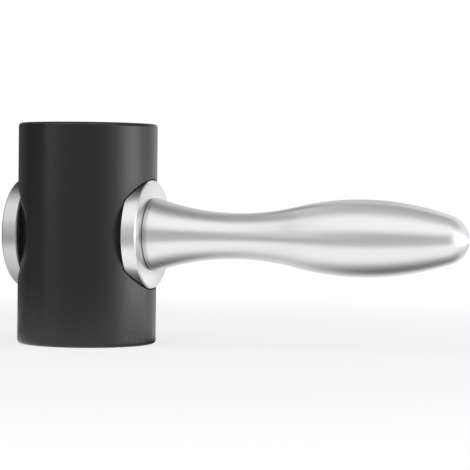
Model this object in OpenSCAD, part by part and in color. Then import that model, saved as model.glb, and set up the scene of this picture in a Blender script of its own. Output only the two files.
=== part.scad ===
// Soft face hammer: a cylindrical soft head standing on one striking face, clamped between two
// turned collars by a screw that pulls a turned handle up against the front collar.
// The origin is the centre of the lower striking face, +Z runs up the head and +X along the handle.

/* [Soft head] */
// Diameter of the head
head_d = 60.5; // [52:0.5:80]
// Height of the head, from striking face to striking face
head_h = 95.7; // [70:0.1:140]
// Radius that rounds the rim of each striking face
head_edge_r = 1.5; // [0.5:0.1:5]

/* [Collars] */
// Diameter of each collar
collar_d = 47; // [40:0.5:52]
// Thickness of each collar
collar_t = 7; // [6.5:0.1:10]
// How far a collar's outer face stands proud of the head's side
collar_proud = 0.35; // [0:0.05:3]
// Bevel round both rims of a collar
collar_bevel = 0.6; // [0.2:0.1:1.5]
// Gap all round between a collar and its pocket in the head
pocket_gap = 0.5; // [0.2:0.1:1]

/* [Core sleeve] */
// Wall of the spacer sleeve that crosses the head between the collars
sleeve_wall = 8; // [3:0.5:10]
// Gap all round between the sleeve and the head's cross bore
sleeve_gap = 0.1; // [0.05:0.05:0.5]
// Bevel round the outer rims of the sleeve
sleeve_bevel = 0.5; // [0.2:0.1:1]

/* [Clamp screw] */
// Nominal diameter of the screw
screw_d = 10; // [8:0.5:12]
// Length of the screw, with its countersunk head
screw_len = 80; // [74:1:96]
// Diameter of the countersunk head
screw_head_d = 20; // [16:0.5:24]
// Height of the straight rim above the countersunk cone
screw_rim_h = 0.5; // [0.2:0.1:1]
// Width of the hexagon socket across its flats
socket_w = 6; // [5:0.5:8]
// Depth of the hexagon socket
socket_depth = 4.4; // [3.5:0.1:5]
// How far the screw's face lies below the rear collar's face
screw_sunk = 0.2; // [0:0.1:0.8]
// Gap all round where the screw passes through collars, sleeve and washer
screw_gap = 0.5; // [0.2:0.1:1]
// Bevel at the end of the screw
screw_bevel = 1; // [0.5:0.1:1.5]

/* [Handle] */
// Diameter of the short land that bears on the front collar
land_d = 31.5; // [28:0.5:38]
// Width of the groove turned where the land meets the collar, which shows as the joint line
joint_w = 0.3; // [0.1:0.1:1]
// Depth of that groove
joint_depth = 0.9; // [0.3:0.1:1.5]
// Diameter of the neck at its thinnest
neck_d = 19.5; // [17:0.1:24]
// Distance of the thinnest section from the collar end
neck_at = 38; // [32:0.5:48]
// Diameter of the grip at its thickest
grip_d = 32.6; // [27:0.1:38]
// Distance of the thickest section from the collar end
grip_at = 92.5; // [80:0.5:110]
// Radius of the domed tip
tip_r = 10.6; // [7:0.1:13]
// Share of the way from neck to grip at which the hollow curve turns into the full one
turn_share = 0.482; // [0.35:0.001:0.65]

/* [Thread insert] */
// Wall of the threaded insert set into the handle
insert_wall = 2; // [1.5:0.1:2.5]
// Length of the insert
insert_len = 18; // [14:0.5:24]
// Bevel round the outer rims of the insert
insert_bevel = 0.5; // [0.2:0.1:0.8]
// Gap all round between the insert and its hole in the handle
insert_gap = 0.05; // [0.05:0.05:0.2]
// Gap all round between the screw and the insert's bore
thread_gap = 0.05; // [0.05:0.05:0.2]
// Room left in the handle beyond the end of the screw
screw_room = 4; // [2:0.5:8]

/* [Spring washer] */
// Width of the washer's ring
washer_w = 6; // [4:0.5:7]
// Thickness of the washer
washer_t = 2.5; // [1.5:0.1:3.5]
// Rise of the washer's cone when it is clamped
washer_rise = 0.2; // [0.1:0.1:0.5]
// Gap all round between the washer and its recess in the handle
washer_gap = 0.4; // [0.2:0.1:0.8]

/* [Hidden] */
$fn = 120;
// Segments on the long arcs of the handle, where a coarse circle would flatten the form
arc_fn = 720;
// Sides of the driving socket
hexagon = 6;
// How far each cut runs past the face that it opens
overrun = 1;
// How far neighbouring arcs of the handle cross, so that they meet in an edge and don't just touch
lap = 0.004;
// Height of a drill's point as a share of the radius that it cuts
drill_point_share = 0.6;

// Places along the handle's axis, from the axis of the head outwards
head_r = head_d / 2;
collar_face_x = head_r + collar_proud;
collar_seat_x = collar_face_x - collar_t;
axis_z = head_h / 2;

// Radii that seat in one another, from the screw outwards
screw_r = screw_d / 2;
screw_head_r = screw_head_d / 2;
through_r = screw_r + screw_gap;
sleeve_r = through_r + sleeve_wall;
collar_r = collar_d / 2;
pocket_r = collar_r + pocket_gap;
insert_bore_r = screw_r + thread_gap;
insert_r = insert_bore_r + insert_wall;
insert_hole_r = insert_r + insert_gap;
washer_r = through_r + washer_w;
washer_recess_r = washer_r + washer_gap;

// Depths in the handle, from its collar end
washer_depth = washer_t + washer_rise;
insert_end = washer_depth + insert_len;
screw_end = screw_len + screw_sunk - 2 * collar_face_x;
bore_end = max(insert_end, screw_end) + screw_room;
drill_point = drill_point_share * insert_bore_r;

// The handle's outline is three arcs that run smoothly into one another: the hollow of the
// neck, the full curve of the grip and the domed tip. Where two arcs touch, their centres and
// the touching point lie in one line, which gives every radius and place below.
land_r = land_d / 2;
neck_r = neck_d / 2;
grip_r = grip_d / 2;
neck_to_grip = grip_at - neck_at;
swell = grip_r - neck_r;
arc_sum = (neck_to_grip ^ 2 + swell ^ 2) / (2 * swell);
neck_arc_r = turn_share * arc_sum;
grip_arc_r = arc_sum - neck_arc_r;
turn_at = neck_at + turn_share * neck_to_grip;
dome_centre = grip_at + sqrt((grip_arc_r - tip_r) ^ 2 - (grip_arc_r - grip_r) ^ 2);
dome_at = grip_at + (dome_centre - grip_at) * grip_arc_r / (grip_arc_r - tip_r);
handle_len = dome_centre + tip_r;

head_colour = [0.11, 0.11, 0.112];
steel_colour = [0.72, 0.72, 0.71];
handle_colour = [0.80, 0.80, 0.79];

// Turns an outline of radius and length about the handle's axis, starting at start_x
module turned(start_x) {
    translate([start_x, 0, axis_z])
        rotate([0, 90, 0])
            rotate_extrude()
                children();
}

// Cuts a 45 degree bevel off the corner of an outline that it is centred on
module bevel_cut(bevel) {
    rotate(45)
        square(sqrt(2) * bevel, center = true);
}

// Outline of a plain ring with both outer rims bevelled
module ring_outline(inner_r, outer_r, length, bevel) {
    difference() {
        translate([inner_r, 0])
            square([outer_r - inner_r, length]);
        for (end = [0, length])
            translate([outer_r, end])
                bevel_cut(bevel);
    }
}

// Outline of the countersunk head: a straight rim of the given radius over a 90 degree cone
module countersink_outline(rim_r, rim_h) {
    square([rim_r, rim_h]);
    polygon([[0, rim_h], [screw_head_r, rim_h], [0, rim_h + screw_head_r]]);
}

// Upright cylinder with rounded rims, cut by two round pockets whose flat floors run out
// through the side, so that the collars overhang the head at the front and at the back
module soft_head() {
    color(head_colour)
        difference() {
            rotate_extrude()
                head_outline();
            for (side = [-1, 1])
                translate([side * collar_seat_x, 0, axis_z])
                    rotate([0, side * 90, 0])
                        cylinder(h = collar_t + overrun, r = pocket_r);
            translate([0, 0, axis_z])
                rotate([0, 90, 0])
                    cylinder(h = 2 * (collar_seat_x + overrun), r = sleeve_r + sleeve_gap, center = true);
        }
}

module head_outline() {
    flat_r = head_r - head_edge_r;
    square([flat_r, head_h]);
    translate([0, head_edge_r])
        square([head_r, head_h - 2 * head_edge_r]);
    for (level = [head_edge_r, head_h - head_edge_r])
        translate([flat_r, level])
            circle(head_edge_r);
}

// Thick tube that keeps the two collars apart, takes the pull of the screw and weights the head
module core_sleeve() {
    color(steel_colour)
        turned(-collar_seat_x)
            ring_outline(through_r, sleeve_r, 2 * collar_seat_x, sleeve_bevel);
}

// Collar behind the head, countersunk for the screw
module rear_collar() {
    color(steel_colour)
        turned(-collar_face_x)
            difference() {
                ring_outline(through_r, collar_r, collar_t, collar_bevel);
                countersink_outline(screw_head_r + screw_gap, screw_sunk + screw_rim_h);
            }
}

// Collar between the head and the handle
module front_collar() {
    color(steel_colour)
        turned(collar_seat_x)
            ring_outline(through_r, collar_r, collar_t, collar_bevel);
}

// Countersunk screw from the rear collar into the handle's insert
module clamp_screw() {
    face_x = screw_sunk - collar_face_x;
    color(steel_colour)
        difference() {
            turned(face_x)
                difference() {
                    union() {
                        countersink_outline(screw_head_r, screw_rim_h);
                        square([screw_r, screw_len]);
                    }
                    translate([screw_r, screw_len])
                        bevel_cut(screw_bevel);
                }
            translate([face_x - overrun, 0, axis_z])
                rotate([0, 90, 0])
                    cylinder(h = socket_depth + overrun, d = socket_w / cos(180 / hexagon), $fn = hexagon);
        }
}

// Conical washer that keeps the joint under tension, its outer rim on the front collar and
// its inner rim on the end of the insert in the handle
module spring_washer() {
    color(steel_colour)
        turned(collar_face_x)
            polygon([
                [through_r, washer_rise],
                [washer_r, 0],
                [washer_r, washer_t],
                [through_r, washer_depth]
            ]);
}

// Threaded bush set into the handle, which the screw pulls on
module thread_insert() {
    color(steel_colour)
        turned(collar_face_x + washer_depth)
            ring_outline(insert_bore_r, insert_r, insert_len, insert_bevel);
}

// Turned handle with a recess for the washer, a hole for the insert and a drilled bore
module handle() {
    color(handle_colour)
        turned(collar_face_x)
            difference() {
                handle_outline();
                square([washer_recess_r, washer_depth]);
                square([insert_hole_r, insert_end]);
                square([insert_bore_r, bore_end]);
                polygon([[0, bore_end], [insert_bore_r, bore_end], [0, bore_end + drill_point]]);
            }
}

module handle_outline() {
    // Land at the collar and hollow of the neck
    difference() {
        union() {
            square([land_r, neck_at]);
            translate([0, neck_at])
                square([grip_r, turn_at - neck_at]);
        }
        translate([land_r - joint_depth, 0])
            square([joint_depth + overrun, joint_w]);
        translate([neck_r + neck_arc_r, neck_at])
            circle(neck_arc_r + lap, $fn = arc_fn);
    }
    // Full curve of the grip
    intersection() {
        translate([0, neck_at])
            square([grip_r + overrun, dome_at - neck_at]);
        translate([grip_r - grip_arc_r, grip_at])
            circle(grip_arc_r, $fn = arc_fn);
    }
    // Domed tip
    intersection() {
        translate([0, grip_at])
            square([grip_r, handle_len + overrun - grip_at]);
        translate([0, dome_centre])
            circle(tip_r + lap);
    }
}

soft_head();
core_sleeve();
rear_collar();
front_collar();
clamp_screw();
spring_washer();
thread_insert();
handle();
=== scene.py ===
# %% [markdown]
# # A soft face hammer
# The hammer is a black cylindrical head that stands on one striking face. Two bright collars are let into
# its sides, and a short turned handle is pulled up against the front one by a screw that crosses the head.
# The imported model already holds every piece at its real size, in metres, with the handle along +X and the
# head standing on the origin. This lesson dresses it: it turns finer copies of the metal pieces, gives each
# surface its finish, and lights the whole as a small tool on a white table.

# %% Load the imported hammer
import math

import bmesh
import bpy
from mathutils import Matrix, Vector


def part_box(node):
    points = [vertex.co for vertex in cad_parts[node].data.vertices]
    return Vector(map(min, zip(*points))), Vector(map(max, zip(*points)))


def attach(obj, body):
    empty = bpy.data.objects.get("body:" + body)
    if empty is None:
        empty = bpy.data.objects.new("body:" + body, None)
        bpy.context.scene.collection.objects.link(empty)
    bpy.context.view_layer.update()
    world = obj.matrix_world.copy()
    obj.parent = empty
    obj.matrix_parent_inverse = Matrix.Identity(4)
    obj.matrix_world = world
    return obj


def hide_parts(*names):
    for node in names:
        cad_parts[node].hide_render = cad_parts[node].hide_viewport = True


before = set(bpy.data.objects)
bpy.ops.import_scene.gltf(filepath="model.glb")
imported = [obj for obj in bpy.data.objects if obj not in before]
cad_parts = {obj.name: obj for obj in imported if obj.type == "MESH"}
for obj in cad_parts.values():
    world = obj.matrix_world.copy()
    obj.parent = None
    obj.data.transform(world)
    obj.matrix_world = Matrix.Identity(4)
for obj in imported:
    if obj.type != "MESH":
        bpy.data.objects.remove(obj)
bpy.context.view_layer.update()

print("pieces in the frame:", ", ".join(sorted(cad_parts)))

# %% [markdown]
# ## Sizes that every piece shares
# A lathe works about one line, so most of this hammer hangs on the handle's axis. Its height, and the places
# and radii of the pieces that meet on it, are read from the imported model, so that nothing has to be fitted.

# %% Read the axis, the places along it and the radii
MM = 0.001

head_low, head_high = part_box("soft_head")
axis_height = (head_low.z + head_high.z) / 2


def span_on_axis(node):
    """Where a turned piece starts and ends along the axis, and its largest radius."""
    low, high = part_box(node)
    return low.x, high.x, high.z - axis_height


rear_face, rear_seat, collar_radius = span_on_axis("rear_collar")
front_seat, front_face, _ = span_on_axis("front_collar")
screw_start, screw_end, screw_head_radius = span_on_axis("clamp_screw")
_, washer_end, washer_radius = span_on_axis("spring_washer")
insert_start, insert_end, insert_radius = span_on_axis("thread_insert")
handle_start, handle_tip, grip_radius = span_on_axis("handle")
print(f"handle axis {axis_height / MM:.2f} mm up, handle {(handle_tip - handle_start) / MM:.1f} mm long")

# %% [markdown]
# ## A small lathe
# Every metal piece here came off a lathe. In Blender a lathe is `spin`: draw half of the outline in the XZ
# plane, then turn it about X. The outline itself is drawn like a pen stroke. `extrude_vert_indiv` pulls a
# straight line out of the last point, and a spin of that one point about an arc's centre draws the arc, so
# every curve stays a true arc with a centre and a radius, instead of a list of points.

# %% Pen strokes and the full turn
TURN_STEPS = 192
WELD = 0.0005 * MM


def pen_down(bm, x, radius):
    """Starts an outline at a place along the axis and a radius."""
    return bm.verts.new((x, 0.0, radius))


def line_to(bm, last, x, radius):
    """Draws a straight line from the last point of the outline."""
    drawn = bmesh.ops.extrude_vert_indiv(bm, verts=[last])
    drawn["verts"][0].co = (x, 0.0, radius)
    return drawn["verts"][0]


def arc_to(bm, last, centre, end, steps):
    """Draws an arc about a centre until it points at the end; both are (place, radius)."""
    middle = Vector((centre[0], 0.0, centre[1]))
    arm_start = last.co - middle
    arm_end = Vector((end[0], 0.0, end[1])) - middle
    sweep = arm_start.angle(arm_end)
    if arm_start.cross(arm_end).y < 0:
        sweep = -sweep
    drawn = bmesh.ops.spin(bm, geom=[last], cent=middle, axis=(0, 1, 0), angle=sweep, steps=steps)
    return next(part for part in drawn["geom_last"] if isinstance(part, bmesh.types.BMVert))


def turn(bm):
    """Turns the outline once round the axis, welds the seam and points the faces outwards."""
    outline = bm.verts[:] + bm.edges[:]
    bmesh.ops.spin(bm, geom=outline, cent=(0, 0, 0), axis=(1, 0, 0), angle=math.tau,
                   steps=TURN_STEPS, use_merge=True)
    bmesh.ops.remove_doubles(bm, verts=bm.verts[:], dist=WELD)
    bmesh.ops.recalc_face_normals(bm, faces=bm.faces[:])


def rim(bm, x, radius):
    """The edges of one circle of a turned piece."""
    def on_it(vert):
        return abs(vert.co.x - x) < WELD and abs(math.hypot(vert.co.y, vert.co.z) - radius) < WELD
    return [edge for edge in bm.edges if all(on_it(vert) for vert in edge.verts)]


def break_edges(bm, edges, offset, segments=1):
    """Bevels edges the way the editor's bevel tool does."""
    bmesh.ops.bevel(bm, geom=edges, offset=offset, affect="EDGES", segments=segments,
                    profile=0.5, material=-1)


print(f"one turn takes {TURN_STEPS} steps")

# %% [markdown]
# ## From mesh to piece
# A finished piece keeps its object at the origin and carries its place in its mesh, as the imported nodes do.
# It rides on the hammer's one body and hides the node that it replaces.
# Faces are smooth, and the edges that turn by more than a few degrees stay crisp.

# %% Put a turned piece on its axis
CRISP_ANGLE = math.radians(14)


def mesh_object(bm, name):
    """Turns a bmesh into an object of the scene that sits at the origin."""
    mesh = bpy.data.meshes.new(name)
    bm.to_mesh(mesh)
    bm.free()
    made = bpy.data.objects.new(name, mesh)
    bpy.context.scene.collection.objects.link(made)
    return made


def make_piece(bm, name, node):
    """Makes a piece from a bmesh drawn about the origin's X axis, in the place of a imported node."""
    bmesh.ops.translate(bm, verts=bm.verts[:], vec=(0, 0, axis_height))
    piece = mesh_object(bm, name)
    piece.data.shade_smooth()
    piece.data.set_sharp_from_angle(angle=CRISP_ANGLE)
    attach(piece, "root")
    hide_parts(node)
    print(f"{name}: {len(piece.data.polygons)} faces in place of {node}")
    return piece


# %% [markdown]
# ## The handle's long curve
# On the real handle a short straight land bears on the collar, then one sweep of the tool hollows the neck,
# swells into the grip and closes in a domed tip. A subdivision surface could be pulled to that look, but a
# turner thinks in arcs: where two arcs run smoothly into each other, their centres and the point where they
# touch lie on one line. So a few sizes and one share give all three arcs, and the curve has no kink.

# %% Work out the three arcs
NECK_AT = handle_start + 38.0 * MM
NECK_RADIUS = 9.75 * MM
GRIP_AT = handle_start + 92.5 * MM
TIP_RADIUS = 10.6 * MM
TURN_SHARE = 0.482
LAND_RADIUS = 15.75 * MM

swell = grip_radius - NECK_RADIUS
arc_sum = ((GRIP_AT - NECK_AT) ** 2 + swell ** 2) / (2 * swell)
neck_arc = TURN_SHARE * arc_sum
grip_arc = arc_sum - neck_arc
neck_centre = (NECK_AT, NECK_RADIUS + neck_arc)
grip_centre = (GRIP_AT, grip_radius - grip_arc)
dome_centre = (handle_tip - TIP_RADIUS, 0.0)


def between(first, second, share):
    """The point at a share of the way from one (place, radius) to another."""
    return tuple(a + (b - a) * share for a, b in zip(first, second))


land_end = NECK_AT - math.sqrt(neck_arc ** 2 - (neck_centre[1] - LAND_RADIUS) ** 2)
neck_to_grip = between(neck_centre, grip_centre, TURN_SHARE)
grip_to_dome = between(grip_centre, dome_centre, grip_arc / (grip_arc - TIP_RADIUS))
print(f"arcs of {neck_arc / MM:.1f}, {grip_arc / MM:.1f} and {TIP_RADIUS / MM:.1f} mm radius")

# %% [markdown]
# The end that meets the collar is bored for the washer and the threaded insert, and a groove in front of the
# land draws the dark joint line. Nobody sees the bore, but a turned outline that runs from the drill's point
# round to the domed tip closes the mesh without a lid.

# %% Turn the handle
INSERT_GAP = 0.05 * MM
WASHER_GAP = 0.4 * MM
BORE_RADIUS = 5.05 * MM
BORE_ROOM = 4.0 * MM
DRILL_POINT = 3.03 * MM
JOINT_WIDTH = 0.3 * MM
JOINT_DEPTH = 0.9 * MM
JOINT_EDGE = 0.08 * MM
NECK_STEPS = 44
GRIP_STEPS = 64
DOME_STEPS = 20

bm = bmesh.new()
pen = pen_down(bm, insert_end + BORE_ROOM + DRILL_POINT, 0.0)
for place, radius in (
    (insert_end + BORE_ROOM, BORE_RADIUS),
    (insert_end, BORE_RADIUS),
    (insert_end, insert_radius + INSERT_GAP),
    (insert_start, insert_radius + INSERT_GAP),
    (washer_end, washer_radius + WASHER_GAP),
    (handle_start, washer_radius + WASHER_GAP),
    (handle_start, LAND_RADIUS - JOINT_DEPTH),
    (handle_start + JOINT_WIDTH, LAND_RADIUS - JOINT_DEPTH),
    (handle_start + JOINT_WIDTH, LAND_RADIUS - JOINT_EDGE),
    (handle_start + JOINT_WIDTH + JOINT_EDGE, LAND_RADIUS),
    (land_end, LAND_RADIUS),
):
    pen = line_to(bm, pen, place, radius)
pen = arc_to(bm, pen, neck_centre, neck_to_grip, NECK_STEPS)
pen = arc_to(bm, pen, grip_centre, grip_to_dome, GRIP_STEPS)
pen = arc_to(bm, pen, dome_centre, (handle_tip, 0.0), DOME_STEPS)
turn(bm)
handle = make_piece(bm, "turned_handle", "handle")

# %% [markdown]
# ## The two collars
# Each collar is a thick disc with its rims broken by a small bevel, and that bevel is what draws the thin
# bright line round it. The rear one is countersunk for the screw. A ring outline is turned first, and then
# the bevel tool breaks the rims, once wide for the turner's bevel and once fine for the wear of handling.

# %% Turn the collars
THROUGH_RADIUS = 5.5 * MM
RIM_BEVEL = 0.6 * MM
WORN_EDGE = 0.06 * MM
SINK_RIM_GAP = 0.5 * MM
SCREW_RIM = 0.5 * MM


def ring_outline(bm, corners):
    """Draws a closed outline through its corners."""
    first = pen_down(bm, *corners[0])
    pen = first
    for corner in corners[1:]:
        pen = line_to(bm, pen, *corner)
    bmesh.ops.contextual_create(bm, geom=[pen, first])


def bevelled_disc(name, node, corners, rims):
    """Turns a ring and breaks the given rims."""
    bm = bmesh.new()
    ring_outline(bm, corners)
    turn(bm)
    for place in rims:
        break_edges(bm, rim(bm, place, collar_radius), RIM_BEVEL)
    fine = [edge for place in rims for edge in rim(bm, place, collar_radius - RIM_BEVEL)]
    break_edges(bm, fine, WORN_EDGE, segments=2)
    return make_piece(bm, name, node)


front_collar = bevelled_disc(
    "front_collar_disc", "front_collar",
    [(front_seat, THROUGH_RADIUS), (front_face, THROUGH_RADIUS),
     (front_face, collar_radius), (front_seat, collar_radius)],
    (front_seat, front_face),
)

sink_floor = screw_start + SCREW_RIM
sink_end = sink_floor + screw_head_radius - THROUGH_RADIUS
sink_mouth = screw_head_radius + SINK_RIM_GAP
rear_collar = bevelled_disc(
    "rear_collar_disc", "rear_collar",
    [(rear_seat, THROUGH_RADIUS), (sink_end, THROUGH_RADIUS), (sink_floor, screw_head_radius),
     (sink_floor, sink_mouth), (rear_face, sink_mouth),
     (rear_face, collar_radius), (rear_seat, collar_radius)],
    (rear_face, rear_seat),
)

# %% [markdown]
# ## The screw and its hexagon socket
# From behind one sees the flat head of the screw in its countersink, with a socket for a hexagon key. The
# shank is turned like the rest, with its front left open. The socket starts as a circle of six sides in that
# opening. `bridge_loops` would twist between six points and the many of the rim, so `triangle_fill` closes
# the flat face round the hexagon. Then the hexagon is extruded inwards and closed with a shallow point, as a
# broached socket is.

# %% Turn the shank and broach the socket
SCREW_RADIUS = 5.0 * MM
SCREW_BEVEL = 1.0 * MM
SCREW_EDGE = 0.15 * MM
HEXAGON = 6
SOCKET_WIDTH = 6.0 * MM
SOCKET_DEPTH = 4.4 * MM
SOCKET_POINT = 0.4 * MM
SOCKET_MOUTH = 0.3 * MM

bm = bmesh.new()
pen = pen_down(bm, screw_start, screw_head_radius - SCREW_EDGE)
for place, radius in (
    (screw_start + SCREW_EDGE, screw_head_radius),
    (sink_floor, screw_head_radius),
    (sink_floor + screw_head_radius - SCREW_RADIUS, SCREW_RADIUS),
    (screw_end - SCREW_BEVEL, SCREW_RADIUS),
    (screw_end, SCREW_RADIUS - SCREW_BEVEL),
    (screw_end, 0.0),
):
    pen = line_to(bm, pen, place, radius)
turn(bm)
outer_rim = rim(bm, screw_start, screw_head_radius - SCREW_EDGE)

face_of_screw = Matrix.Translation((screw_start, 0, 0)) @ Matrix.Rotation(math.pi / 2, 4, "Y")
corner_radius = SOCKET_WIDTH / 2 / math.cos(math.pi / HEXAGON)
bmesh.ops.create_circle(bm, segments=HEXAGON, radius=corner_radius, matrix=face_of_screw)
socket_rim = [edge for edge in bm.edges if edge.is_wire]
bmesh.ops.triangle_fill(bm, edges=outer_rim + socket_rim, use_beauty=True, normal=(-1, 0, 0))
walls = bmesh.ops.extrude_edge_only(bm, edges=socket_rim)["geom"]
floor_verts = [part for part in walls if isinstance(part, bmesh.types.BMVert)]
floor_edges = [part for part in walls if isinstance(part, bmesh.types.BMEdge)]
floor_edges = [edge for edge in floor_edges if all(vert in floor_verts for vert in edge.verts)]
bmesh.ops.translate(bm, verts=floor_verts, vec=(SOCKET_DEPTH - SOCKET_POINT, 0, 0))
socket_floor = bmesh.ops.contextual_create(bm, geom=floor_edges)["faces"]
point = bmesh.ops.poke(bm, faces=socket_floor, offset=0.0, center_mode="MEAN")["verts"][0]
point.co.x = screw_start + SOCKET_DEPTH
bmesh.ops.recalc_face_normals(bm, faces=bm.faces[:])
break_edges(bm, socket_rim, SOCKET_MOUTH)
clamp_screw = make_piece(bm, "socket_screw", "clamp_screw")

# %% [markdown]
# ## Wiring for the finishes
# Every finish below is a tree of shader nodes. Wired by hand in the editor, each node is a box with noodles.
# In a script a few short helpers keep that readable: each one adds a node, links what goes in, and gives back
# the socket that comes out, so that one line of code reads like one step of a recipe.

# %% Helpers that add one node each


def math_node(tree, operation, first, second=None):
    """Adds a Math node whose inputs are sockets or plain numbers, and gives its output."""
    node = tree.nodes.new("ShaderNodeMath")
    node.operation = operation
    for socket, value in zip(node.inputs, (first, second)):
        if isinstance(value, bpy.types.NodeSocket):
            tree.links.new(value, socket)
        elif value is not None:
            socket.default_value = value
    return node.outputs[0]


def range_node(tree, value, low, high, start=0.0, end=1.0, smooth=False):
    """Spreads a value that runs from start to end between two limits, evenly or as a smooth step."""
    node = tree.nodes.new("ShaderNodeMapRange")
    node.interpolation_type = "SMOOTHSTEP" if smooth else "LINEAR"
    for label, number in (("From Min", start), ("From Max", end), ("To Min", low), ("To Max", high)):
        node.inputs[label].default_value = number
    tree.links.new(value, node.inputs["Value"])
    return node.outputs["Result"]


def split_node(tree, vector):
    """Splits a vector into its X, Y and Z sockets."""
    node = tree.nodes.new("ShaderNodeSeparateXYZ")
    tree.links.new(vector, node.inputs[0])
    return node.outputs


def noise_node(tree, vector, scale, detail, roughness=0.5, w=None):
    """Adds a Noise Texture and gives its grey output; with w it is a four-dimensional one."""
    node = tree.nodes.new("ShaderNodeTexNoise")
    node.noise_dimensions = "3D" if w is None else "4D"
    tree.links.new(vector, node.inputs["Vector"])
    if w is not None:
        tree.links.new(w, node.inputs["W"])
    if isinstance(scale, bpy.types.NodeSocket):
        tree.links.new(scale, node.inputs["Scale"])
    else:
        node.inputs["Scale"].default_value = scale
    node.inputs["Detail"].default_value = detail
    node.inputs["Roughness"].default_value = roughness
    return node.outputs["Fac"]


print("helpers add maths, ranges, splits and noises")

# %% [markdown]
# ## Finishes that several pieces share
# Turned metal carries fine rings left by the tool. They follow the lathe: a ring has one place along the axis
# and one radius, so a noise that reads only those two gives rings on rims, on faces and along the handle
# alike. A little of the angle is mixed in, so that each ring fades in and out as real ones do. The effect is
# a node group, because collars, screw and handle all use it with their own values. Handling leaves soft
# smears on metal and rubber alike, so that is a second group.

# %% Two shader node groups
RINGS_PER_METRE = 900.0
RING_FADE = 1.5 * MM
RING_DETAIL = 4.0
RING_ROUGHNESS = 0.65
SMEARS_PER_METRE = 45.0
SMEAR_DETAIL = 3.0
SMEAR_SPAN = (0.35, 0.7)


def new_group(name, inputs, output):
    """Starts a shader node group with coordinates, named values going in and one value coming out."""
    group = bpy.data.node_groups.new(name, "ShaderNodeTree")
    group.interface.new_socket("Coordinates", in_out="INPUT", socket_type="NodeSocketVector")
    for label, value in inputs:
        socket = group.interface.new_socket(label, in_out="INPUT", socket_type="NodeSocketFloat")
        socket.default_value = value
    group.interface.new_socket(output, in_out="OUTPUT", socket_type="NodeSocketFloat")
    return group, group.nodes.new("NodeGroupInput").outputs, group.nodes.new("NodeGroupOutput").inputs


def make_turning_rings():
    """Rings about the X axis of the coordinates, as a tool leaves them."""
    inputs = (("Rings per metre", RINGS_PER_METRE), ("Fade", RING_FADE))
    group, given, result = new_group("turning_rings", inputs, "Ring")
    x, y, z = split_node(group, given["Coordinates"])
    squares = math_node(group, "ADD", math_node(group, "MULTIPLY", y, y), math_node(group, "MULTIPLY", z, z))
    angle = math_node(group, "ARCTAN2", z, y)
    join = group.nodes.new("ShaderNodeCombineXYZ")
    group.links.new(x, join.inputs[0])
    group.links.new(math_node(group, "SQRT", squares), join.inputs[1])
    around = math_node(group, "MULTIPLY", math_node(group, "COSINE", angle), given["Fade"])
    group.links.new(around, join.inputs[2])
    w = math_node(group, "MULTIPLY", math_node(group, "SINE", angle), given["Fade"])
    w = math_node(group, "MULTIPLY", w, given["Rings per metre"])
    ring = noise_node(group, join.outputs[0], given["Rings per metre"], RING_DETAIL, RING_ROUGHNESS, w)
    group.links.new(ring, result["Ring"])
    return group


def make_handling_smears():
    """Soft patches, from 0 to 1, where hands have been."""
    group, given, result = new_group("handling_smears", (("Patches per metre", SMEARS_PER_METRE),), "Smear")
    broad = noise_node(group, given["Coordinates"], given["Patches per metre"], SMEAR_DETAIL)
    group.links.new(range_node(group, broad, 0.0, 1.0, *SMEAR_SPAN), result["Smear"])
    return group


turning_rings = make_turning_rings()
handling_smears = make_handling_smears()
print("node groups:", ", ".join(group.name for group in bpy.data.node_groups))

# %% [markdown]
# ## Parts of a material
# Metal and rubber start alike: a Principled BSDF, object coordinates with their zero on the handle's axis,
# two colours that a mask mixes, and a shallow bump. Object coordinates stay with the piece, so no unwrapping
# is needed for patterns that follow the lathe.

# %% Helpers for materials


def empty_tree(holder):
    """Gives a material or a world an empty node tree."""
    holder.use_nodes = True
    holder.node_tree.nodes.clear()
    return holder.node_tree


def new_material(name):
    """An empty material with a Principled BSDF on its output."""
    material = bpy.data.materials.new(name)
    tree = empty_tree(material)
    output = tree.nodes.new("ShaderNodeOutputMaterial")
    shader = tree.nodes.new("ShaderNodeBsdfPrincipled")
    tree.links.new(shader.outputs["BSDF"], output.inputs["Surface"])
    return material, tree, shader


def axis_coordinates(tree):
    """Object coordinates moved so that the handle's axis lies at zero."""
    coordinates = tree.nodes.new("ShaderNodeTexCoord")
    mapping = tree.nodes.new("ShaderNodeMapping")
    mapping.inputs["Location"].default_value = (0.0, 0.0, -axis_height)
    tree.links.new(coordinates.outputs["Object"], mapping.inputs["Vector"])
    return mapping.outputs["Vector"]


def add_group(tree, group, vector, **values):
    """Places a node group on a vector, with its own values by socket name, and gives its output."""
    node = tree.nodes.new("ShaderNodeGroup")
    node.node_tree = group
    tree.links.new(vector, node.inputs["Coordinates"])
    for label, value in values.items():
        node.inputs[label.replace("_", " ")].default_value = value
    return node.outputs[0]


def colour_between(tree, value, dark, light):
    """Mixes two colours by a value of 0 to 1."""
    node = tree.nodes.new("ShaderNodeMix")
    node.data_type = "RGBA"
    tree.links.new(value, node.inputs["Factor"])
    node.inputs["A"].default_value = (*dark, 1.0)
    node.inputs["B"].default_value = (*light, 1.0)
    return node.outputs["Result"]


def raise_surface(tree, shader, height, depth, strength=1.0):
    """Bumps a shader's normal by a height of 0 to 1, over a depth in metres."""
    bump = tree.nodes.new("ShaderNodeBump")
    bump.inputs["Distance"].default_value = depth
    bump.inputs["Strength"].default_value = strength
    tree.links.new(height, bump.inputs["Height"])
    tree.links.new(bump.outputs["Normal"], shader.inputs["Normal"])


print("helpers give coordinates, groups, colours and bumps")

# %% [markdown]
# ## Satin turned metal
# The metal is brushed in rings, so it scatters light across the rings and hardly along them: a lamp shows as
# a band that runs along the handle, with a crisp upper and lower edge. That is anisotropy. The Tangent node
# gives the direction round the axis, and a quarter turn of Anisotropic Rotation lays the blur across it.
# Colour, roughness and a very shallow bump then follow the rings. A facing cut leaves the flat end of a disc
# smoother than its rim, so the roughness can drop where the face's own normal runs along the axis.

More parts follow.
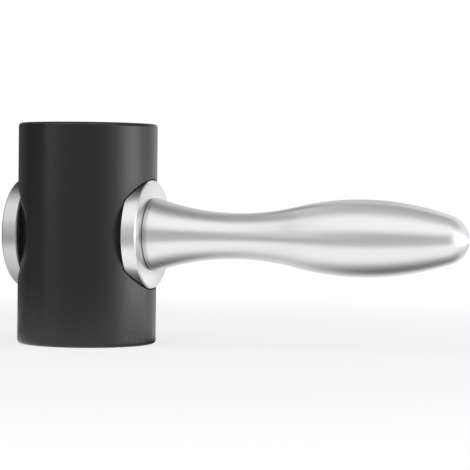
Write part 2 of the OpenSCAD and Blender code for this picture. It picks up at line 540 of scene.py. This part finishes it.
# %% Make the metals
METAL_SMEAR = 0.03
FLAT_END = 0.98
QUARTER_TURN = 0.25


def turned_metal(name, dark, light, smooth, rough, rings, depth, anisotropy, faced=1.0):
    """Metal with rings about the handle's axis; dark and light are the two tones of the rings, and faced is
    the share of the roughness that a facing cut leaves on flat ends."""
    material, tree, shader = new_material(name)
    vector = axis_coordinates(tree)
    ring = add_group(tree, turning_rings, vector, Rings_per_metre=rings)
    smear = add_group(tree, handling_smears, vector)
    tree.links.new(colour_between(tree, ring, dark, light), shader.inputs["Base Color"])
    blur = math_node(tree, "ADD", range_node(tree, ring, smooth, rough),
                     range_node(tree, smear, 0.0, METAL_SMEAR))
    geometry = tree.nodes.new("ShaderNodeNewGeometry")
    along_axis = math_node(tree, "ABSOLUTE", split_node(tree, geometry.outputs["True Normal"])["X"])
    flat_end = math_node(tree, "GREATER_THAN", along_axis, FLAT_END)
    blur = math_node(tree, "MULTIPLY", blur, range_node(tree, flat_end, 1.0, faced))
    tree.links.new(blur, shader.inputs["Roughness"])
    raise_surface(tree, shader, ring, depth)
    shader.inputs["Metallic"].default_value = 1.0
    shader.inputs["Anisotropic"].default_value = anisotropy
    shader.inputs["Anisotropic Rotation"].default_value = QUARTER_TURN
    tangent = tree.nodes.new("ShaderNodeTangent")
    tangent.direction_type = "RADIAL"
    tangent.axis = "X"
    tree.links.new(tangent.outputs["Tangent"], shader.inputs["Tangent"])
    print(f"{name}: {rings:.0f} rings per metre, roughness {smooth} to {rough}")
    return material


handle_metal = turned_metal(
    "satin_aluminium", dark=(0.71, 0.71, 0.712), light=(0.86, 0.86, 0.862),
    smooth=0.24, rough=0.36, rings=900.0, depth=0.010 * MM, anisotropy=0.7)
collar_metal = turned_metal(
    "satin_steel", dark=(0.69, 0.688, 0.685), light=(0.84, 0.838, 0.835),
    smooth=0.20, rough=0.30, rings=1100.0, depth=0.008 * MM, anisotropy=0.2, faced=0.5)
# Painted shade: the rear collar is the same steel as the front one, and this darker, warmer copy stands for
# the dimmer light that falls on it.
rear_shaded_steel = turned_metal(
    "rear_steel_painted_shade", dark=(0.53, 0.522, 0.517), light=(0.67, 0.660, 0.655),
    smooth=0.22, rough=0.32, rings=1100.0, depth=0.008 * MM, anisotropy=0.2)
screw_metal = turned_metal(
    "screw_steel", dark=(0.50, 0.50, 0.495), light=(0.62, 0.62, 0.615),
    smooth=0.26, rough=0.38, rings=1400.0, depth=0.004 * MM, anisotropy=0.5)
inner_metal = turned_metal(
    "machined_steel", dark=(0.42, 0.42, 0.42), light=(0.54, 0.54, 0.535),
    smooth=0.35, rough=0.5, rings=700.0, depth=0.01 * MM, anisotropy=0.4)

# %% [markdown]
# The short land at the handle's end bears on the collar. Its colour is a shade darker than the sweep of the
# neck. This is painted shade for the joint, and the collar's face mirrors that darker metal beside it as a
# painted reflection. A mask along the axis, multiplied into the colour, is enough, and it fades where the
# sweep of the neck begins.

# %% Paint shade on the land of the handle
LAND_SHADE_TONE = 0.77
LAND_SHADE_FADE = 2.0 * MM

tree = handle_metal.node_tree
shader = tree.nodes["Principled BSDF"]
ring_colour = shader.inputs["Base Color"].links[0].from_socket
# Painted shade: the land's colour is darkened to stand for the shade at its joint with the collar.
land = range_node(tree, split_node(tree, axis_coordinates(tree))["X"], LAND_SHADE_TONE, 1.0,
                  land_end - LAND_SHADE_FADE / 2, land_end + LAND_SHADE_FADE / 2, smooth=True)
painted_land_shade = tree.nodes.new("ShaderNodeMix")
painted_land_shade.data_type = "RGBA"
painted_land_shade.blend_type = "MULTIPLY"
painted_land_shade.inputs["Factor"].default_value = 1.0
tree.links.new(ring_colour, painted_land_shade.inputs["A"])
tree.links.new(land, painted_land_shade.inputs["B"])
tree.links.new(painted_land_shade.outputs["Result"], shader.inputs["Base Color"])
print(f"the land is dull up to {(land_end - handle_start) / MM:.1f} mm from the handle's end")

# %% [markdown]
# ## Matte black rubber
# The head is a firm black elastomer with the faint, even grain that a mould leaves. It is dull face on, but
# at a glancing angle it catches the pale side of the room, so the finish needs a broad, weak gloss over a
# nearly black colour. A fine noise makes the grain, as a very shallow bump and a small change of roughness,
# and together with a broad one it clouds the colour.

# %% Make the rubber
GRAIN_PER_METRE = 2600.0
GRAIN_DETAIL = 3.0
GRAIN_ROUGHNESS = 0.6
GRAIN_DEPTH = 0.06 * MM
GRAIN_STRENGTH = 0.25
CLOUD_PER_METRE = 60.0
CLOUD_DETAIL = 4.0
GRAIN_SHARE = 0.6
CLOUD_SHARE = 0.4
RUBBER_DARK = (0.0015, 0.0015, 0.0016)
RUBBER_LIGHT = (0.006, 0.006, 0.0062)
RUBBER_BLUR = (0.23, 0.29)
RUBBER_SMEAR = 0.05
RUBBER_SMEARS_PER_METRE = 28.0
RUBBER_GLOSS = 0.56

rubber, tree, shader = new_material("black_rubber")
vector = axis_coordinates(tree)
grain = noise_node(tree, vector, GRAIN_PER_METRE, GRAIN_DETAIL, GRAIN_ROUGHNESS)
cloud = noise_node(tree, vector, CLOUD_PER_METRE, CLOUD_DETAIL)
smear = add_group(tree, handling_smears, vector, Patches_per_metre=RUBBER_SMEARS_PER_METRE)
tone = math_node(tree, "ADD", math_node(tree, "MULTIPLY", grain, GRAIN_SHARE),
                 math_node(tree, "MULTIPLY", cloud, CLOUD_SHARE))
tree.links.new(colour_between(tree, tone, RUBBER_DARK, RUBBER_LIGHT), shader.inputs["Base Color"])
blur = math_node(tree, "ADD", range_node(tree, grain, *RUBBER_BLUR),
                 range_node(tree, smear, 0.0, RUBBER_SMEAR))
tree.links.new(blur, shader.inputs["Roughness"])
raise_surface(tree, shader, grain, GRAIN_DEPTH, GRAIN_STRENGTH)
shader.inputs["Specular IOR Level"].default_value = RUBBER_GLOSS
print(f"rubber with a grain of {1 / GRAIN_PER_METRE / MM:.2f} mm")

# %% [markdown]
# ## Dressing the pieces
# Each piece of the real hammer is of one stuff, so each gets one material. The rear collar is the same steel
# as the front one, but its material is a darker, warmer copy: painted shade and painted reflection. The
# turned copies and the head show. The sleeve, the washer and the insert are hidden inside, and one plain
# machined steel serves all three.

# %% Give every piece its finish


def dress(piece, material):
    """Puts one material on a piece, in place of what it came with."""
    piece.data.materials.clear()
    piece.data.materials.append(material)


dress(handle, handle_metal)
dress(front_collar, collar_metal)
dress(rear_collar, rear_shaded_steel)
dress(clamp_screw, screw_metal)
dress(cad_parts["soft_head"], rubber)
for hidden in ("core_sleeve", "spring_washer", "thread_insert"):
    dress(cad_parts[hidden], inner_metal)
print("materials:", ", ".join(material.name for material in bpy.data.materials if material.users))

# %% [markdown]
# ## The camera
# The portrait is taken from a little to the right and almost level with the handle, with a long lens, so the
# head's faces stay nearly flat lines. The camera's place, turn and focal length were worked out from where
# the known edges of the hammer fall in the picture.

# %% Set up the camera
FRAME_PIXELS = 470
SENSOR = 36.0
FOCAL_PIXELS = 1942.0
CAMERA_AZIMUTH = math.radians(17.035)
CAMERA_RISE = math.radians(1.468)
CAMERA_ROLL = math.radians(0.621)
CAMERA_FROM_HEAD = Vector((310.42, -792.94, 21.70)) * MM

backwards = Vector((
    math.sin(CAMERA_AZIMUTH) * math.cos(CAMERA_RISE),
    -math.cos(CAMERA_AZIMUTH) * math.cos(CAMERA_RISE),
    math.sin(CAMERA_RISE),
))
level_right = (-backwards).cross(Vector((0, 0, 1))).normalized()
level_up = level_right.cross(-backwards)
right = math.cos(CAMERA_ROLL) * level_right + math.sin(CAMERA_ROLL) * level_up
up = math.cos(CAMERA_ROLL) * level_up - math.sin(CAMERA_ROLL) * level_right
place = CAMERA_FROM_HEAD + Vector((0, 0, axis_height))

lens = bpy.data.cameras.new("portrait_lens")
lens.sensor_width = SENSOR
lens.lens = FOCAL_PIXELS / FRAME_PIXELS * SENSOR
camera = bpy.data.objects.new("portrait_camera", lens)
camera.matrix_world = Matrix((
    (right.x, up.x, backwards.x, place.x),
    (right.y, up.y, backwards.y, place.y),
    (right.z, up.z, backwards.z, place.z),
    (0, 0, 0, 1),
))
bpy.context.scene.collection.objects.link(camera)
bpy.context.scene.camera = camera
print(f"lens of {lens.lens:.0f} mm, {place.length:.2f} m from the foot of the head")

# %% [markdown]
# ## A white table
# The picture has a white ground. The table is a broad pale disc that glows where the camera, a gloss or a
# clear material looks at it. Close to the hammer it keeps part of its own light and shade, so the hammer
# stands on a soft shadow.

# %% Lay the table
TABLE_RADIUS = 6.0
TABLE_STEPS = 96
TABLE_PAINT = (0.9, 0.9, 0.9, 1.0)
SHADOW_REACH = (0.14, 0.40)
LIFT = 0.72

bm = bmesh.new()
bmesh.ops.create_circle(bm, cap_ends=True, segments=TABLE_STEPS, radius=TABLE_RADIUS)
table = mesh_object(bm, "white_table")


def length_node(tree, vector):
    """Adds a Vector Math node that gives the length of a vector."""
    node = tree.nodes.new("ShaderNodeVectorMath")
    node.operation = "LENGTH"
    tree.links.new(vector, node.inputs[0])
    return node.outputs["Value"]


def seen_ray(tree):
    """1 for rays from the camera, a gloss or a clear material, and 0 for the rest."""
    path = tree.nodes.new("ShaderNodeLightPath").outputs
    seen = math_node(tree, "MAXIMUM", path["Is Camera Ray"], path["Is Glossy Ray"])
    return math_node(tree, "MAXIMUM", seen, path["Is Transmission Ray"])


paint = bpy.data.materials.new("table_white")
tree = empty_tree(paint)
matte = tree.nodes.new("ShaderNodeBsdfDiffuse")
matte.inputs["Color"].default_value = TABLE_PAINT
glow = tree.nodes.new("ShaderNodeEmission")
coordinates = tree.nodes.new("ShaderNodeTexCoord")
distance = length_node(tree, coordinates.outputs["Object"])
lift = range_node(tree, distance, LIFT, 1.0, *SHADOW_REACH, smooth=True)
mix = tree.nodes.new("ShaderNodeMixShader")
tree.links.new(math_node(tree, "MULTIPLY", seen_ray(tree), lift), mix.inputs["Fac"])
tree.links.new(matte.outputs["BSDF"], mix.inputs[1])
tree.links.new(glow.outputs["Emission"], mix.inputs[2])
output = tree.nodes.new("ShaderNodeOutputMaterial")
tree.links.new(mix.outputs["Shader"], output.inputs["Surface"])
dress(table, paint)
print(f"a table {2 * TABLE_RADIUS:.0f} m across, whose shadow is gone {SHADOW_REACH[1] / MM:.0f} mm out")

# %% [markdown]
# ## A white room
# The world beyond the table is as white as the ground where it is looked at. As a lamp it is weaker, because
# an even light from all sides would wash out the head, so one Background node gets two strengths.

# %% Light the room
ROOM_FILL = 0.45

room = bpy.data.worlds.new("white_room")
tree = empty_tree(room)
background = tree.nodes.new("ShaderNodeBackground")
background.inputs["Color"].default_value = (1.0, 1.0, 1.0, 1.0)
tree.links.new(range_node(tree, seen_ray(tree), ROOM_FILL, 1.0), background.inputs["Strength"])
output = tree.nodes.new("ShaderNodeOutputWorld")
tree.links.new(background.outputs["Background"], output.inputs["Surface"])
bpy.context.scene.world = room
bpy.context.scene.view_settings.view_transform = "Standard"
print(f"{room.name} lights with {ROOM_FILL} and shows as 1")

# %% [markdown]
# ## Panels round the table
# Satin metal is a soft mirror of the studio, so a studio for metal is built from large plain panels: bright
# ones where the metal should be bright, and grey cards where it should be dark. Area lights could be the
# bright ones, but a mesh that glows can also carry tones. So every panel is a thin slab whose glow runs
# through tones along one axis, and soft oval spots make parts of it darker or brighter.

# %% Build a panel


def slab_between(name, low, high):
    """A thin box between two corners, with its place in its mesh."""
    low, high = Vector(low), Vector(high)
    bm = bmesh.new()
    bmesh.ops.create_cube(bm, size=1.0)
    bmesh.ops.scale(bm, verts=bm.verts[:], vec=high - low)
    bmesh.ops.translate(bm, verts=bm.verts[:], vec=(low + high) / 2)
    return mesh_object(bm, name)


def tones_along(tree, place, tones):
    """A glow that steps smoothly from each (place, tone) to the next."""
    glow = tones[0][1]
    for (place_a, tone_a), (place_b, tone_b) in zip(tones, tones[1:]):
        step = range_node(tree, place, 0.0, tone_b - tone_a, place_a, place_b, smooth=True)
        glow = math_node(tree, "ADD", glow, step)
    return glow


def with_spot(tree, vector, glow, centre, halves, share):
    """Multiplies an oval spot into a glow: the share holds in its centre and fades out at its half sizes."""
    mapping = tree.nodes.new("ShaderNodeMapping")
    mapping.vector_type = "TEXTURE"
    mapping.inputs["Location"].default_value = centre
    mapping.inputs["Scale"].default_value = halves
    tree.links.new(vector, mapping.inputs["Vector"])
    fade = range_node(tree, length_node(tree, mapping.outputs["Vector"]), share, 1.0, smooth=True)
    return math_node(tree, "MULTIPLY", glow, fade)


def panel(name, low, high, along, tones, spots=(), lights=False):
    """A glowing slab: a card that only shows in reflections, unless it lights the hammer. Tones are (place
    along the axis, glow), and spots are (centre, half sizes, share of the glow in the centre)."""
    slab = slab_between(name, low, high)
    material = bpy.data.materials.new(name)
    tree = empty_tree(material)
    vector = tree.nodes.new("ShaderNodeTexCoord").outputs["Object"]
    strength = tones_along(tree, split_node(tree, vector)[along], tones)
    for centre, halves, share in spots:
        strength = with_spot(tree, vector, strength, centre, halves, share)
    glow = tree.nodes.new("ShaderNodeEmission")
    tree.links.new(strength, glow.inputs["Strength"])
    output = tree.nodes.new("ShaderNodeOutputMaterial")
    tree.links.new(glow.outputs["Emission"], output.inputs["Surface"])
    dress(slab, material)
    slab.visible_camera = False
    slab.visible_diffuse = lights
    slab.visible_transmission = False
    slab.visible_shadow = False
    print(f"{name}: {len(tones)} tones and {len(spots)} spots")


# %% [markdown]
# Two panels light the hammer. A broad ceiling gives the handle its bright upper band, and a long panel on the
# right, brightest close to the table, gives the head its pale side and the handle's tip its glint.

# %% Hang the two lights
panel("ceiling_light", low=(-1.50, -2.00, 0.85), high=(1.60, 0.57, 0.86), along="Y",
      tones=((-2.00, 0.75), (-1.35, 1.13), (-0.45, 1.13), (0.05, 0.56), (0.57, 0.52)),
      spots=(((-0.55, 0.50, 0.85), (0.50, 0.60, 1.0), 1.8),
             ((0.15, 0.50, 0.85), (0.40, 0.50, 1.0), 0.7)),
      lights=True)
panel("right_light", low=(0.85, -1.80, 0.0), high=(0.86, 0.85, 0.60), along="Y",
      tones=((-1.20, 0.45), (-0.80, 0.66), (-0.35, 0.98)),
      spots=(((0.85, 0.08, 0.03), (1.0, 0.52, 0.31), 3.9),
             ((0.85, -0.22, 0.42), (1.0, 0.22, 0.24), 1.7),
             ((0.85, 0.16, 0.0), (1.0, 0.50, 0.07), 2.0)),
      lights=True)

# %% [markdown]
# The rest are cards. They cast no shadow and throw no light on the hammer. The largest lies just above the
# table, because the lower half of every piece mirrors it. Most of its dark spots are painted shadow, the
# hammer's own shade on the table seen in reflections, and they draw the lower edges of the handle and calm
# the head's left side. Its bright ones lift the front collar's face and the head's right side.
# A thin bright strip on the right, close to the table, shows in the gloss at the lower right of the head.

# %% Hang the cards on the table, in front and behind
panel("low_strip", low=(0.450, 0.0, 0.0), high=(0.451, 0.45, 0.02), along="Y",
      tones=((0.0, 7.5), (0.45, 7.5)))
panel("front_card", low=(-1.90, -1.81, 0.0), high=(1.70, -1.80, 0.62), along="X",
      tones=((-1.90, 0.98), (-1.20, 0.84), (-0.45, 0.54), (0.40, 0.42), (1.70, 0.75)))
# Painted shadow: the dark spots under the grip, round the head and beside the tip stand for the hammer's
# shadow on the table, seen only in reflections.
panel("table_card", low=(-0.90, -1.80, 0.0004), high=(0.85, 0.94, 0.0006), along="Y",
      tones=((-0.16, 0.52), (-0.07, 1.10), (-0.03, 1.08), (0.004, 0.82), (0.09, 0.77)),
      spots=(((0.132, 0.006, 0.0), (0.080, 0.040, 1.0), 0.18),
             ((0.024, 0.008, 0.0), (0.050, 0.042, 1.0), 0.03),
             ((-0.085, 0.015, 0.0), (0.09, 0.09, 1.0), 0.3),
             ((-0.36, 0.15, 0.0), (0.36, 0.90, 1.0), 0.08),
             ((-0.18, 0.55, 0.0), (0.24, 0.58, 1.0), 0.03),
             ((0.182, 0.018, 0.0), (0.055, 0.040, 1.0), 0.42),
             ((0.62, 0.05, 0.0), (0.40, 0.36, 1.0), 2.6),
             ((0.135, 0.20, 0.0), (0.070, 0.18, 1.0), 1.6)))
panel("back_card", low=(-1.40, 0.95, 0.0), high=(0.86, 0.96, 1.30), along="X",
      tones=((-0.42, 0.2), (-0.30, 0.80), (-0.16, 0.60), (-0.02, 0.60), (0.14, 0.88)),
      spots=(((0.32, 0.95, 0.03), (0.22, 1.0, 0.18), 1.25),))

# %% [markdown]
# The last cards are small or stand on the left. One hangs over the handle's flare and one over the rear
# collar, to shade their upper sides, and a grey wall and a dark flag keep the head's left edge black.

# %% Hang the small cards and the left side
panel("flare_card", low=(0.029, -0.034, 0.1040), high=(0.062, 0.038, 0.1042), along="Y",
      tones=((-0.034, 1.0), (-0.011, 0.48)),
      spots=(((0.036, 0.004, 0.104), (0.030, 0.027, 1.0), 0.55),))
panel("left_card", low=(-0.91, -0.70, 0.0), high=(-0.90, 1.20, 1.20), along="Y",
      tones=((-0.70, 0.3), (0.0, 0.2)))
panel("left_flag", low=(-0.26, -0.05, 0.0), high=(-0.25, 0.86, 0.30), along="Y",
      tones=((0.25, 0.17), (0.50, 0.01)))
panel("collar_card", low=(-0.13, -0.03, 0.16), high=(-0.04, 0.20, 0.161), along="Y",
      tones=((-0.03, 0.72), (0.005, 0.30), (0.03, 0.06)))
